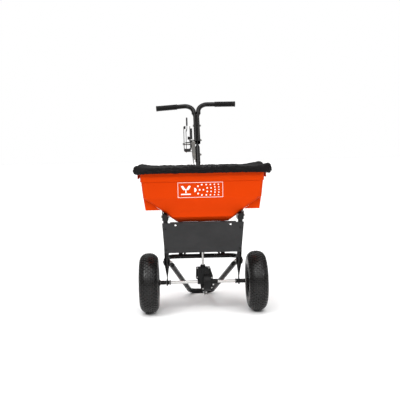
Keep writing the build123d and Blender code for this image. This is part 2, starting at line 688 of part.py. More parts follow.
def bracket_cheek(x, top):
    """One side of the bracket: a plate beside the tube, from its front back under the tub."""
    lean = math.radians(LEAN)
    out = TUBE_R + 0.1 + BRACKET_SHEET
    high_along = (top - AXLE_Z + out * math.sin(lean)) / math.cos(lean)
    low, high = frame_point(BRACKET_LOW, 0, out), frame_point(high_along, 0, out)
    corners = ((low[1], low[2]), (high[1], high[2]), (-92, top), (-92, top - 22))
    return across(make_face(Polyline(*corners, close=True)), x, x + BRACKET_SHEET), high_along


def hopper_bracket():
    """A pressed bracket round the top of one side frame, with a seat under the tub's sloping side."""
    near = SIDE_X - TUBE_R - 0.1 - BRACKET_SHEET
    far = SIDE_X + TUBE_R + 0.1
    near_cheek, near_along = bracket_cheek(near, lower_slope(near) - 0.3)
    far_cheek, far_along = bracket_cheek(far, lower_slope(far) - 0.3)
    web = (
        (near, BRACKET_LOW), (far + BRACKET_SHEET, BRACKET_LOW),
        (far + BRACKET_SHEET, far_along), (near, near_along),
    )
    face = Plane(origin=frame_point(0, 0, TUBE_R + 0.1), x_dir=(1, 0, 0), z_dir=frame_out())
    up = -1 if face.y_dir.Z < 0 else 1
    front = make_face(Polyline(*[(x, up * along) for x, along in web], close=True))
    drop = BRACKET_SHEET + 1.2
    corners = (
        (near - 3, lower_slope(near - 3) - 0.3), (far + 6, lower_slope(far + 6) - 0.3),
        (far + 6, lower_slope(far + 6) - drop), (near - 3, lower_slope(near - 3) - drop),
    )
    seat = Pos(0, -92, 0) * extrude(Plane.XZ * make_face(Polyline(*corners, close=True)), 48)
    bracket = near_cheek + far_cheek + extrude(face * front, BRACKET_SHEET) + seat
    return bracket - hole(frame_point(BRACKET_BOLT, SIDE_X), 4 + BOLT_GAP, 40)


def rear_struts():
    """Two straps from the rear loop up to the tub's rear wall."""
    back = LOOP_Y + TUBE_R + 2.0
    line = FilletPolyline((back, 277), (back, 505.0), (back + 33, 538.0), radius=10)
    return both(across(trace(line, line_width=4), 108, 132))


def build_frame():
    right_side = side_frame()
    save("side_frame_right", right_side)
    save("side_frame_left", mirror(right_side, about=Plane.YZ))
    save("rear_loop", rear_loop())
    save("rest_stand", rest_stand())
    save("front_shield", front_shield())
    save("shield_bolts", *shield_bolts())
    bracket = hopper_bracket()
    save("hopper_bracket_right", bracket)
    save("hopper_bracket_left", mirror(bracket, about=Plane.YZ))
    save("rear_struts", *rear_struts())

    outside = SIDE_X + TUBE_R + BLADE
    inside = SIDE_X - TUBE_R - BLADE
    frame_bolts = []
    for piece in bolt(frame_point(JOINT_ALONG, outside), (-1, 0, 0), outside - inside, 13):
        frame_bolts += both(piece)
    save("frame_bolts", *frame_bolts)
    bracket_bolts = []
    reach = TUBE_R + 0.2 + BRACKET_SHEET
    for piece in bolt(frame_point(BRACKET_BOLT, SIDE_X + reach), (-1, 0, 0), 2 * reach, 4):
        bracket_bolts += both(piece)
    save("bracket_bolts", *bracket_bolts)


# ---- handle ----

def lower_handle_tube():
    """The long tube from the rear loop, flattened at its top to go between the handle tubes."""
    taper_from = 803.0
    tube = straight_tube(handle_point(6), handle_point(taper_from), LOWER_R)
    tube -= bar((-60, LOOP_Y, LOOP_Z), (60, LOOP_Y, LOOP_Z), TUBE_R + 0.02)
    blade = RectangleRounded(STEM_BLADE, BLADE_WIDTH, STEM_BLADE / 2 - 0.05)
    taper = loft([
        (handle_plane(taper_from) * Circle(LOWER_R)).face(),
        (handle_plane(STEM_LOW - 3) * blade).face(),
    ])
    flat = extrude(handle_plane(STEM_LOW - 3) * blade, STEM_HIGH - STEM_LOW)
    tube += taper + flat
    for along in HANDLE_BOLTS:
        tube -= hole(handle_point(along), 4 + BOLT_GAP, 40)
    tube -= hole(handle_point(790, -LOWER_R), 3 + BOLT_GAP, 10)
    return tube


def bar_end(side):
    """The corner where one stem turns into its bar, and the bar's end, drawn on the right."""
    corner = Vector(*handle_point(BAR_ALONG + side * BAR_LIFT, BAR_X))
    droop = math.tan(math.radians(BAR_DROOP - side * BAR_TILT))
    return corner, corner + Vector(1, 0, -droop) * (BAR_END - BAR_X)


def handle_tube(side):
    """One handle: an oval stem beside the lower tube, turning out into a round bar."""
    oval = RectangleRounded(STEM_WIDE, STEM_DEEP, STEM_WIDE / 2 - 0.05)
    thin = 2 * TUBE_WALL
    oval_bore = RectangleRounded(STEM_WIDE - thin, STEM_DEEP - thin, STEM_WIDE / 2 - TUBE_WALL - 0.05)
    stem = extrude(handle_plane(STEM_LOW, STEM_X) * (oval - oval_bore), STEM_HIGH - STEM_LOW)
    shells = []
    for oval_part, radius in ((oval, BAR_R), (oval_bore, BAR_R - TUBE_WALL)):
        shells.append(loft([
            (handle_plane(STEM_HIGH, STEM_X) * oval_part).face(),
            (handle_plane(ROUND_FROM, BAR_X) * Circle(radius)).face(),
        ]))
    taper = shells[0] - shells[1]
    corner, end = bar_end(side)
    bar_tube = bent_tube([handle_point(ROUND_FROM, BAR_X), tuple(corner), tuple(end)], BAR_BEND, BAR_R)
    handle = stem + taper + bar_tube
    for along in HANDLE_BOLTS[1:]:
        handle -= hole(handle_point(along), 4 + BOLT_GAP, 40)
    return handle


def handle_grip(side):
    """A rubber sleeve with a closed end over the end of one bar."""
    corner, end = bar_end(side)
    out = (end - corner).normalized()
    sleeve = bar(end - out * (GRIP_LENGTH - 4.5), end + out * 4.5, GRIP_R)
    sleeve = fillet(sleeve.edges().filter_by(GeomType.CIRCLE), 3)
    return sleeve - bar(end - out * GRIP_LENGTH, end, BAR_R)


def handle_braces():
    """Two rods that steady the lower handle tube against the rear loop."""
    rod = bar((105, LOOP_Y, LOOP_Z), handle_point(250), 6)
    rod -= bar((-200, LOOP_Y, LOOP_Z), (200, LOOP_Y, LOOP_Z), TUBE_R + 0.02)
    rod -= bar(handle_point(150), handle_point(350), LOWER_R + 0.02)
    pieces = sorted(rod.solids(), key=lambda solid: solid.volume)
    return both(pieces[-1])


def build_handle():
    save("lower_handle_tube", lower_handle_tube())
    save("handle_tube_right", handle_tube(1))
    save("handle_tube_left", mirror(handle_tube(-1), about=Plane.YZ))
    save("handle_grips", handle_grip(1), mirror(handle_grip(-1), about=Plane.YZ))
    save("handle_braces", *handle_braces())

    stem_side = STEM_X + STEM_WIDE / 2
    channel_seat = CHANNEL_RIGHT - CHANNEL_WALL
    pieces = bolt(handle_point(HANDLE_BOLTS[0], -LOWER_R - 3.1), (1, 0, 0), 2 * LOWER_R + 3.2, 10)
    pieces += bolt(handle_point(HANDLE_BOLTS[1], channel_seat), (1, 0, 0), stem_side - channel_seat, 10)
    pieces += bolt(handle_point(HANDLE_BOLTS[2], -stem_side), (1, 0, 0), 2 * stem_side, 10)
    spacer_from = handle_point(HANDLE_BOLTS[1], CHANNEL_RIGHT + CHANNEL_WALL)
    spacer_to = handle_point(HANDLE_BOLTS[1], -stem_side - 0.05)
    pieces.append(ring(7, 4 + BOLT_GAP, spacer_from, spacer_to))
    save("handle_bolts", *pieces)


# ---- flow control ----

def control_channel():
    """A strap bent into a tall U that the lever moves in, with a stiffening plate on its right leg."""
    run = FilletPolyline(
        (CHANNEL_LEFT + 12, -CHANNEL_HIGH), (CHANNEL_LEFT, -CHANNEL_HIGH), (CHANNEL_LEFT, -CHANNEL_LOW),
        (CHANNEL_RIGHT, -CHANNEL_LOW), (CHANNEL_RIGHT, -CHANNEL_HIGH),
        radius=6,
    )
    face = handle_face(-CHANNEL_DEEP / 2)
    flip = 1 if (face.y_dir.Z < 0) else -1
    profile = trace(run, line_width=CHANNEL_STRAP)
    if flip < 0:
        profile = mirror(profile, about=Plane.XZ)
    channel = extrude(face * profile, -CHANNEL_DEEP)
    back_point = handle_point(885.5, -37.5, 1.5 - CHANNEL_DEEP / 2)
    back = Plane(origin=back_point, x_dir=(1, 0, 0), z_dir=handle_up())
    channel += back * Box(15, 3, 171)
    for along, x, radius in (
        (PIVOT_ALONG, (CHANNEL_LEFT + CHANNEL_RIGHT) / 2, 4 + BOLT_GAP),
        (HANDLE_BOLTS[1], CHANNEL_RIGHT, 4 + BOLT_GAP),
        (790, CHANNEL_RIGHT, 3 + BOLT_GAP),
        (STOP_ALONG, CHANNEL_RIGHT, 3 + RUNNING),
    ):
        channel -= hole(handle_point(along, x), radius, 30 if x < CHANNEL_RIGHT else 10)
    return channel


def control_angle():
    """An angle beside the lower handle tube that carries the channel."""
    low, high = 690.0, 838.0
    inner, outer = -LOWER_R - 3.05, -LOWER_R - 0.05
    side = Pos((low + high) / 2, 1.5) * Rectangle(high - low, CHANNEL_DEEP + 3)
    leg = extrude(handle_side(inner) * side, outer - inner)
    flange_outline = (
        (inner, low), (inner, high), (inner - 20, high), (inner - 20, low + 60), (inner - 8, low),
    )
    face = handle_face(CHANNEL_DEEP / 2 + 0.3)
    flip = -1 if face.y_dir.Z < 0 else 1
    corners = [(x, flip * along) for x, along in flange_outline]
    flange = extrude(face * make_face(Polyline(*corners, close=True)), -2.7)
    angle = leg + flange
    angle -= hole(handle_point(HANDLE_BOLTS[0], inner), 4 + BOLT_GAP, 10)
    angle -= hole(handle_point(790, inner), 3 + BOLT_GAP, 10)
    return angle


def control_bolts():
    """The lever's pivot bolt with its two spacers, and the screw that holds the channel's foot."""
    left, right = CHANNEL_LEFT - CHANNEL_WALL, CHANNEL_RIGHT + CHANNEL_WALL
    pieces = bolt(handle_point(PIVOT_ALONG, right), (-1, 0, 0), right - left, 4)
    half = LEVER_SHEET / 2 + RUNNING
    inside = (CHANNEL_LEFT + CHANNEL_WALL, CHANNEL_RIGHT - CHANNEL_WALL)
    for start, end in ((inside[0], LEVER_X - half), (LEVER_X + half, inside[1])):
        ends = (handle_point(PIVOT_ALONG, start), handle_point(PIVOT_ALONG, end))
        pieces.append(ring(7, 4 + BOLT_GAP, *ends))
    seat = CHANNEL_RIGHT - CHANNEL_WALL
    grip = -LOWER_R - seat
    pieces += bolt(handle_point(790, seat), (1, 0, 0), grip, 3, radius=3.0, nut=False)
    foot_from = handle_point(790, CHANNEL_RIGHT + CHANNEL_WALL)
    foot_to = handle_point(790, -LOWER_R - 3.1)
    pieces.append(ring(6, 3 + BOLT_GAP, foot_from, foot_to))
    return pieces


def lever_arm_end():
    """Where the control rod hooks into the lever, from the pivot, in Y and Z."""
    half = math.radians(LEVER_SWING / 2)
    return (LEVER_ARM * math.sin(half), -LEVER_ARM * math.cos(half))


def rod_eye():
    """The control rod's hook at rest: level with the middle of the arm's swing."""
    pivot = handle_point(PIVOT_ALONG)
    drop = LEVER_ARM * (1 + math.cos(math.radians(LEVER_SWING / 2))) / 2
    return (pivot[1] + lever_arm_end()[0], pivot[2] - drop)


def flow_lever():
    """A flat lever with a step towards its tip, and a short arm that works the rod."""
    face = handle_face(-LEVER_WIDE / 2)
    flip = -1 if face.y_dir.Z < 0 else 1
    run = Polyline(
        (LEVER_X, flip * PIVOT_ALONG), (LEVER_X, flip * 935), (LEVER_TIP_X, flip * 958),
        (LEVER_TIP_X, flip * LEVER_TOP),
    )
    upper = extrude(face * trace(run, line_width=LEVER_SHEET), -LEVER_WIDE)
    pivot = Vector(*handle_point(PIVOT_ALONG, LEVER_X))
    arm_y, arm_z = lever_arm_end()
    end = pivot + Vector(0, arm_y, arm_z)
    half = Vector(LEVER_SHEET / 2, 0, 0)
    arm = bar(pivot - half, pivot + half, LEVER_WIDE / 2) + bar(end - half, end + half, 8)
    run = (end - pivot).normalized()
    side_on = Plane(origin=pivot - half, x_dir=run, z_dir=(1, 0, 0))
    arm += extrude(side_on * (Pos(LEVER_ARM / 2, 0) * Rectangle(LEVER_ARM, 14)), LEVER_SHEET)
    lever = upper + arm
    lever -= hole(tuple(pivot), 4 + RUNNING, 20)
    lever -= hole(tuple(end), 4.0, 20)
    return lever


def lever_grip():
    """A moulded grip pushed over the lever's tip."""
    low, high = LEVER_TOP - 42, LEVER_TOP + 12
    block = extrude(handle_plane(low, LEVER_TIP_X) * RectangleRounded(10, 24, 4), high - low)
    block = fillet(block.faces().sort_by(Axis.Z)[-1].edges(), 2.5)
    slot = extrude(handle_plane(low - 1, LEVER_TIP_X) * Rectangle(LEVER_SHEET, LEVER_WIDE), LEVER_TOP - low + 1)
    return block - slot


def rate_stop():
    """The stop that limits how far the lever opens: a link and the pin that the lever meets."""
    link = CHANNEL_RIGHT - CHANNEL_STRAP / 2 - 0.05
    swing = math.radians(LEVER_SWING)
    reach, back = 60.0, LEVER_WIDE / 2 + ROD_R + 0.4
    pin_along = PIVOT_ALONG + reach * math.cos(swing) - back * math.sin(swing)
    pin_above = -reach * math.sin(swing) - back * math.cos(swing)
    pin_end = handle_point(pin_along, LEVER_X - 6, pin_above)
    stop = bar(handle_point(pin_along, link, pin_above), pin_end, ROD_R)
    for along, above in ((STOP_ALONG, 0), (pin_along, pin_above)):
        stop += bar(handle_point(along, link - 3, above), handle_point(along, link, above), 8)
    middle = (STOP_ALONG + pin_along) / 2, pin_above / 2
    length = math.hypot(STOP_ALONG - pin_along, pin_above)
    turn = math.degrees(math.atan2(-pin_above, STOP_ALONG - pin_along))
    link_face = Pos(*middle) * Rot(0, 0, turn) * Rectangle(length, 16)
    stop += extrude(handle_side(link - 3) * link_face, 3)
    return stop - hole(handle_point(STOP_ALONG, link), 3 + RUNNING, 10)


def stop_knob():
    """A fluted knob with a stud that clamps the stop to the channel."""
    seat = CHANNEL_RIGHT - CHANNEL_STRAP / 2 - 3.2
    knob = bar(handle_point(STOP_ALONG, seat - 11), handle_point(STOP_ALONG, seat), 10)
    for index in range(8):
        angle = math.radians(45 * index)
        along, above = STOP_ALONG + 11 * math.cos(angle), 11 * math.sin(angle)
        knob -= bar(handle_point(along, seat - 12, above), handle_point(along, seat + 1, above), 2.5)
    return knob + bar(handle_point(STOP_ALONG, seat), handle_point(STOP_ALONG, seat + 12), 3)


def flow_gate():
    """The sliding plate under the tub, drawn closed."""
    top = HOPPER_BOTTOM - 0.2
    plate = Pos(0, (GATE_FRONT + GATE_REAR) / 2, top - GATE_THICK / 2) * Box(
        2 * GATE_HALF, GATE_REAR - GATE_FRONT, GATE_THICK,
    )
    notch = Pos(GATE_HALF - 12, GATE_REAR - 10, top - GATE_THICK / 2) * Box(60, 60, 10)
    for cut in both(notch):
        plate -= cut
    slot = Rectangle(17, GATE_TRAVEL)
    for end in (-GATE_TRAVEL / 2, GATE_TRAVEL / 2):
        slot += Pos(0, end) * Circle(8.5)
    plate -= Pos(0, GATE_TRAVEL / 2, top - 10) * extrude(slot, 20)
    for x, y in PORTS:
        plate -= hole((x, y + GATE_TRAVEL, top), PORT_R, 20, (0, 0, 1))
    tab = Pos(0, GATE_REAR - 1.1, ROD_Z + 2.5) * Box(22, 2.2, 23)
    tab &= Pos(0, GATE_REAR, top - 15) * Box(40, 40, 30)
    gate = plate + tab
    return gate - hole((0, GATE_REAR, ROD_Z), ROD_R + BOLT_GAP, 20, (0, 1, 0))


def control_rod():
    """The rod from the lever's short arm to the gate."""
    eye_y, eye_z = rod_eye()
    line = FilletPolyline(
        (LEVER_X - 10, eye_y, eye_z), (-34, eye_y, eye_z), (0, 165, ROD_Z), (0, GATE_REAR - 16, ROD_Z),
        radius=9,
    )
    return sweep(Plane(origin=line @ 0, z_dir=line % 0) * Circle(ROD_R), path=line)


def build_control():
    save("control_channel", control_channel())
    save("control_angle", control_angle())
    save("control_bolts", *control_bolts())
    save("flow_lever", flow_lever())
    save("lever_grip", lever_grip())
    save("rate_stop", rate_stop())
    save("stop_knob", stop_knob())
    save("flow_gate", flow_gate())
    save("control_rod", control_rod())
    nuts = []
    for start in (GATE_REAR - 7.4, GATE_REAR + 0.2):
        nut = RegularPolygon(5.5, 6) - Circle(ROD_R + RUNNING)
        nuts.append(Plane(origin=(0, start + 5, ROD_Z), z_dir=(0, -1, 0)) * extrude(nut, 5))
    save("rod_nuts", *nuts)


os.makedirs("parts", exist_ok=True)
build_wheels()
build_axle()
build_gears()
build_gearbox()
build_impeller()
build_hopper()
build_cover()
build_frame()
build_handle()
build_control()
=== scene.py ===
import json
import math

import bmesh
import bpy
from mathutils import Matrix, Vector, noise


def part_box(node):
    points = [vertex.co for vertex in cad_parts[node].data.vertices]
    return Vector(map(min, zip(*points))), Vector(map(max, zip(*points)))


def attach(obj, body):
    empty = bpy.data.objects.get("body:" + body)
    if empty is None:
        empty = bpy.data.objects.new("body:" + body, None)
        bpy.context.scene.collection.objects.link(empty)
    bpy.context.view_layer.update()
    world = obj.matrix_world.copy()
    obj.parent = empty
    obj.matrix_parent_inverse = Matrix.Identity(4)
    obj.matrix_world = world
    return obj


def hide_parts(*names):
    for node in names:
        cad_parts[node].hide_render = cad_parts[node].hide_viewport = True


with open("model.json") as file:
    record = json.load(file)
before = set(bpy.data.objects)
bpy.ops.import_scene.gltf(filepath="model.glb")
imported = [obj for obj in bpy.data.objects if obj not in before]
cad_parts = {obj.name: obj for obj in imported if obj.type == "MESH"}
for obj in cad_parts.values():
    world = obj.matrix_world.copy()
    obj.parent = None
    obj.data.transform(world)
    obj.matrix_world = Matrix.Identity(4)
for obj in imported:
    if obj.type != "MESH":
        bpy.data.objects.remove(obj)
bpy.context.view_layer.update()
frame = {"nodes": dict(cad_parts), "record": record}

NODES = frame["nodes"]
MM = 0.001


# ---- places taken from the frame ----

def middle(node):
    low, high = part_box(node)
    return (low + high) / 2


AXLE = middle("axle")
HOPPER_LOW, HOPPER_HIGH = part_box("hopper")
HOPPER_MID = (HOPPER_LOW + HOPPER_HIGH) / 2


# ---- camera, light and floor ----

CAMERA_BACK = 3.5
CAMERA_LEFT = 0.11
CAMERA_HEIGHT = 0.92
CAMERA_LENS = 57.8
LOOK_DOWN = math.radians(4.92)
LOOK_RIGHT = math.radians(1.66)
ROLL = math.radians(-1.1)


def make_camera():
    data = bpy.data.cameras.new("camera")
    data.lens = CAMERA_LENS
    data.sensor_width = 36.0
    camera = bpy.data.objects.new("camera", data)
    bpy.context.scene.collection.objects.link(camera)
    turn = Matrix.Rotation(-LOOK_RIGHT, 4, "Z") @ Matrix.Rotation(math.pi / 2 - LOOK_DOWN, 4, "X")
    turn = turn @ Matrix.Rotation(ROLL, 4, "Z")
    place = Matrix.Translation((AXLE.x - CAMERA_LEFT, AXLE.y - CAMERA_BACK, CAMERA_HEIGHT))
    camera.matrix_world = place @ turn
    bpy.context.scene.camera = camera


def area_light(name, place, target, size, power):
    data = bpy.data.lights.new(name, "AREA")
    data.shape = "DISK"
    data.size = size
    data.energy = power
    light = bpy.data.objects.new(name, data)
    bpy.context.scene.collection.objects.link(light)
    light.location = place
    aim = Vector(target) - Vector(place)
    light.rotation_mode = "QUATERNION"
    light.rotation_quaternion = aim.to_track_quat("-Z", "Y")


def sun_light(name, toward, softness, strength):
    data = bpy.data.lights.new(name, "SUN")
    data.angle = math.radians(softness)
    data.energy = strength
    light = bpy.data.objects.new(name, data)
    bpy.context.scene.collection.objects.link(light)
    light.rotation_mode = "QUATERNION"
    light.rotation_quaternion = Vector(toward).to_track_quat("-Z", "Y")


def make_lights():
    world = bpy.data.worlds.new("studio")
    bpy.context.scene.world = world
    world.use_nodes = True
    background = world.node_tree.nodes["Background"]
    background.inputs["Color"].default_value = (1.0, 1.0, 1.0, 1.0)
    background.inputs["Strength"].default_value = 0.24
    seen = world.node_tree.nodes.new("ShaderNodeBackground")
    seen.inputs["Color"].default_value = (1.0, 1.0, 1.0, 1.0)
    seen.inputs["Strength"].default_value = 1.0
    path = world.node_tree.nodes.new("ShaderNodeLightPath")
    mix = world.node_tree.nodes.new("ShaderNodeMixShader")
    output = world.node_tree.nodes["World Output"]
    links = world.node_tree.links
    links.new(path.outputs["Is Camera Ray"], mix.inputs[0])
    links.new(background.outputs[0], mix.inputs[1])
    links.new(seen.outputs[0], mix.inputs[2])
    links.new(mix.outputs[0], output.inputs["Surface"])
    sun_light("key", (0.20, 0.62, -1.05), 70, 2.8)
    sun_light("fill", (-0.55, 0.60, -0.80), 70, 0.6)
    sun_light("back", (0.0, -0.4, -1.0), 90, 0.9)
    centre = Vector((0, AXLE.y, 0.6))
    area_light("left_box", centre + Vector((-1.6, -1.8, 1.5)), centre, 0.35, 20)
    area_light("right_box", centre + Vector((1.8, -1.9, 1.2)), centre, 0.35, 15)
    bpy.context.scene.view_settings.view_transform = "Standard"


def make_floor():
    mesh = bpy.data.meshes.new("floor")
    half = 30.0
    corners = [(-half, -half, 0), (half, -half, 0), (half, half, 0), (-half, half, 0)]
    mesh.from_pydata([(x, y + AXLE.y, z) for x, y, z in corners], [], [(0, 1, 2, 3)])
    floor = bpy.data.objects.new("floor", mesh)
    bpy.context.scene.collection.objects.link(floor)
    mesh.materials.append(FLOOR)


# ---- materials ----

class Tree:
    """A material's node tree, with short ways to add and join nodes."""

    def __init__(self, name):
        self.material = bpy.data.materials.new(name)
        self.material.use_nodes = True
        self.nodes = self.material.node_tree.nodes
        self.links = self.material.node_tree.links
        self.shader = self.nodes["Principled BSDF"]
        self.place = self.add("ShaderNodeTexCoord").outputs["Object"]

    def add(self, kind, **settings):
        node = self.nodes.new(kind)
        for key, value in settings.items():
            setattr(node, key, value)
        return node

    def join(self, output, node, name):
        self.links.new(output, node.inputs[name])

    def set(self, **values):
        for key, value in values.items():
            self.shader.inputs[key.replace("_", " ")].default_value = value

    def stretched(self, scale):
        mapping = self.add("ShaderNodeMapping")
        mapping.inputs["Scale"].default_value = scale
        self.join(self.place, mapping, "Vector")
        return mapping.outputs["Vector"]

    def noise(self, scale, detail=4.0, roughness=0.55, place=None):
        node = self.add("ShaderNodeTexNoise")
        node.inputs["Scale"].default_value = scale
        node.inputs["Detail"].default_value = detail
        node.inputs["Roughness"].default_value = roughness
        self.join(place or self.place, node, "Vector")
        return node.outputs["Fac"]

    def remap(self, value, low, high, start=0.3, end=0.7):
        node = self.add("ShaderNodeMapRange")
        node.inputs["From Min"].default_value = start
        node.inputs["From Max"].default_value = end
        node.inputs["To Min"].default_value = low
        node.inputs["To Max"].default_value = high
        self.join(value, node, "Value")
        return node.outputs["Result"]

    def blend(self, factor, first, second):
        """A colour between first and second, each a colour or an output."""
        node = self.add("ShaderNodeMix", data_type="RGBA")
        for name, value in (("A", first), ("B", second)):
            socket = [item for item in node.inputs if item.name == name and item.type == "RGBA"][0]
            if isinstance(value, tuple):
                socket.default_value = (*value, 1.0)
            else:
                self.links.new(value, socket)
        factor_socket = [item for item in node.inputs if item.name == "Factor" and item.type == "VALUE"][0]
        self.links.new(factor, factor_socket)
        return [item for item in node.outputs if item.type == "RGBA"][0]

    def math(self, operation, first, second):
        node = self.add("ShaderNodeMath", operation=operation)
        for index, value in enumerate((first, second)):
            if isinstance(value, (int, float)):
                node.inputs[index].default_value = value
            else:
                self.links.new(value, node.inputs[index])
        return node.outputs[0]

    def bump(self, height, strength, distance, normal=None):
        node = self.add("ShaderNodeBump")
        node.inputs["Strength"].default_value = strength
        node.inputs["Distance"].default_value = distance
        self.join(height, node, "Height")
        if normal:
            self.join(normal, node, "Normal")
        return node.outputs["Normal"]

    def edges(self, radius=1.2 * MM):
        """1 at convex and concave edges, 0 on flat surface."""
        bevel = self.add("ShaderNodeBevel", samples=4)
        bevel.inputs["Radius"].default_value = radius
        geometry = self.add("ShaderNodeNewGeometry")
        dot = self.add("ShaderNodeVectorMath", operation="DOT_PRODUCT")
        self.join(bevel.outputs["Normal"], dot, 0)
        self.join(geometry.outputs["Normal"], dot, 1)
        return self.remap(dot.outputs["Value"], 1.0, 0.0, 0.80, 0.985)


def shade(colour, factor):
    return tuple(min(1.0, value * factor) for value in colour)


def painted(name, colour, rough, edge_colour=None, texture=900.0, texture_depth=0.04, dust=0.015, coat=0.0,
            shine=0.30):
    """Powder coat or enamel: fine orange peel, patchy gloss, a little dust, edges rubbed lighter."""
    tree = Tree(name)
    patches = tree.remap(tree.noise(9.0), 0.0, 1.0)
    base = tree.blend(patches, shade(colour, 0.80), shade(colour, 1.22))
    specks = tree.remap(tree.noise(260.0, 2.0), 0.0, dust, 0.55, 0.78)
    base = tree.blend(specks, base, (0.30, 0.28, 0.25))
    if edge_colour:
        wear = tree.math("MULTIPLY", tree.edges(), tree.remap(tree.noise(60.0), 0.0, 0.8, 0.40, 0.62))
        base = tree.blend(wear, base, edge_colour)
    tree.join(base, tree.shader, "Base Color")
    tree.join(tree.remap(tree.noise(35.0), rough - 0.07, rough + 0.09), tree.shader, "Roughness")
    peel = tree.bump(tree.noise(texture, 2.0), texture_depth, 0.4 * MM)
    tree.join(peel, tree.shader, "Normal")
    tree.set(Coat_Weight=coat, Coat_Roughness=0.25, Specular_IOR_Level=shine)
    return tree.material


def moulded(name, colour, rough, grain=700.0, grain_depth=0.10, tint=0.12, shine=0.30):
    """Moulded plastic: a fine texture, slight flow marks, scuffs that change the gloss."""
    tree = Tree(name)
    flow = tree.noise(3.0, 5.0, 0.6, tree.stretched((1.0, 1.0, 2.2)))
    base = tree.blend(tree.remap(flow, 0.0, 1.0), shade(colour, 1 - tint), shade(colour, 1 + tint))
    scuff = tree.remap(tree.noise(60.0, 6.0, 0.7, tree.stretched((1.0, 1.0, 0.25))), 0.0, 0.25, 0.62, 0.80)
    base = tree.blend(scuff, base, shade(colour, 1.5))
    tree.join(base, tree.shader, "Base Color")
    gloss = tree.math("ADD", tree.remap(tree.noise(22.0), rough - 0.05, rough + 0.08), scuff)
    tree.join(gloss, tree.shader, "Roughness")
    fine = tree.bump(tree.noise(grain, 3.0), grain_depth, 0.3 * MM)
    wavy = tree.bump(tree.noise(14.0, 1.0), 0.06, 4 * MM, fine)
    tree.join(wavy, tree.shader, "Normal")
    tree.set(Specular_IOR_Level=shine)
    return tree.material


def metal(name, colour, rough, streak=(1.0, 1.0, 1.0), stain=0.25, depth=0.04):
    """Bare or plated steel with drawn or spangled streaks and light staining."""
    tree = Tree(name)
    place = tree.stretched(streak)
    streaks = tree.noise(420.0, 3.0, 0.6, place)
    base = tree.blend(tree.remap(streaks, 0.0, 1.0), shade(colour, 0.78), shade(colour, 1.10))
    stains = tree.remap(tree.noise(45.0, 6.0, 0.65), 0.0, stain, 0.50, 0.75)
    base = tree.blend(stains, base, (0.20, 0.17, 0.14))
    tree.join(base, tree.shader, "Base Color")
    tree.join(tree.remap(streaks, rough - 0.08, rough + 0.12), tree.shader, "Roughness")
    tree.join(tree.bump(streaks, depth, 0.2 * MM), tree.shader, "Normal")
    tree.set(Metallic=1.0)
    return tree.material


def rubber(name, colour, rough, dust=0.25, shine=0.35):
    """Rubber: a soft, slightly chalky black with fine pits."""
    tree = Tree(name)
    chalk = tree.remap(tree.noise(26.0, 6.0, 0.65), 0.0, dust, 0.42, 0.72)
    base = tree.blend(chalk, colour, (0.07, 0.066, 0.062))
    base = tree.blend(tree.remap(tree.noise(300.0, 2.0), 0.0, 0.35), base, shade(colour, 0.5))
    tree.join(base, tree.shader, "Base Color")
    tree.join(tree.remap(tree.noise(40.0), rough - 0.10, rough + 0.12), tree.shader, "Roughness")
    tree.join(tree.bump(tree.noise(800.0, 2.0), 0.14, 0.3 * MM), tree.shader, "Normal")
    tree.set(Specular_IOR_Level=shine)
    return tree.material


def woven(name, colour, threads=900.0):
    """Coated woven nylon: two crossing sets of threads, a soft sheen, and a painted highlight that lightens
    the thread ridges.
    """
    tree = Tree(name)
    height = None
    for axis in (0, 1):
        wave = tree.add("ShaderNodeTexWave", wave_type="BANDS", bands_direction="XY"[axis])
        wave.inputs["Scale"].default_value = threads / (2 * math.pi)
        wave.inputs["Distortion"].default_value = 0.6
        wave.inputs["Detail"].default_value = 1.0
        tree.join(tree.place, wave, "Vector")
        output = wave.outputs["Fac"]
        height = output if height is None else tree.math("MAXIMUM", height, output)
    patches = tree.remap(tree.noise(14.0, 4.0), 0.0, 1.0)
    base = tree.blend(patches, shade(colour, 0.7), shade(colour, 1.5))
    # painted highlight: the colour is lightened on every thread ridge, where light would catch the weave
    base = tree.blend(tree.remap(height, 0.0, 0.4, 0.3, 1.0), base, shade(colour, 2.4))
    tree.join(base, tree.shader, "Base Color")
    tree.join(tree.remap(tree.noise(30.0), 0.50, 0.68), tree.shader, "Roughness")
    weave = tree.bump(height, 0.25, 0.3 * MM)
    crease = tree.bump(tree.noise(55.0, 5.0, 0.6), 0.45, 3.0 * MM, weave)
    tree.join(crease, tree.shader, "Normal")
    tree.set(Sheen_Weight=0.01, Sheen_Roughness=0.4, Specular_IOR_Level=0.10)
    return tree.material


def printed(name, colour):
    """Screen print on plastic: slightly patchy ink."""
    tree = Tree(name)
    patches = tree.remap(tree.noise(180.0, 4.0), 0.0, 1.0)
    tree.join(tree.blend(patches, shade(colour, 0.86), colour), tree.shader, "Base Color")
    tree.join(tree.remap(tree.noise(60.0), 0.35, 0.50), tree.shader, "Roughness")
    tree.join(tree.bump(tree.noise(700.0, 2.0), 0.05, 0.2 * MM), tree.shader, "Normal")
    return tree.material


def studio_floor(name):
    tree = Tree(name)
    tone = tree.remap(tree.noise(0.8, 3.0), 0.0, 1.0)
    tree.join(tree.blend(tone, (0.94, 0.94, 0.94), (0.96, 0.96, 0.96)), tree.shader, "Base Color")
    tree.join(tree.remap(tree.noise(6.0), 0.72, 0.85), tree.shader, "Roughness")
    return tree.material


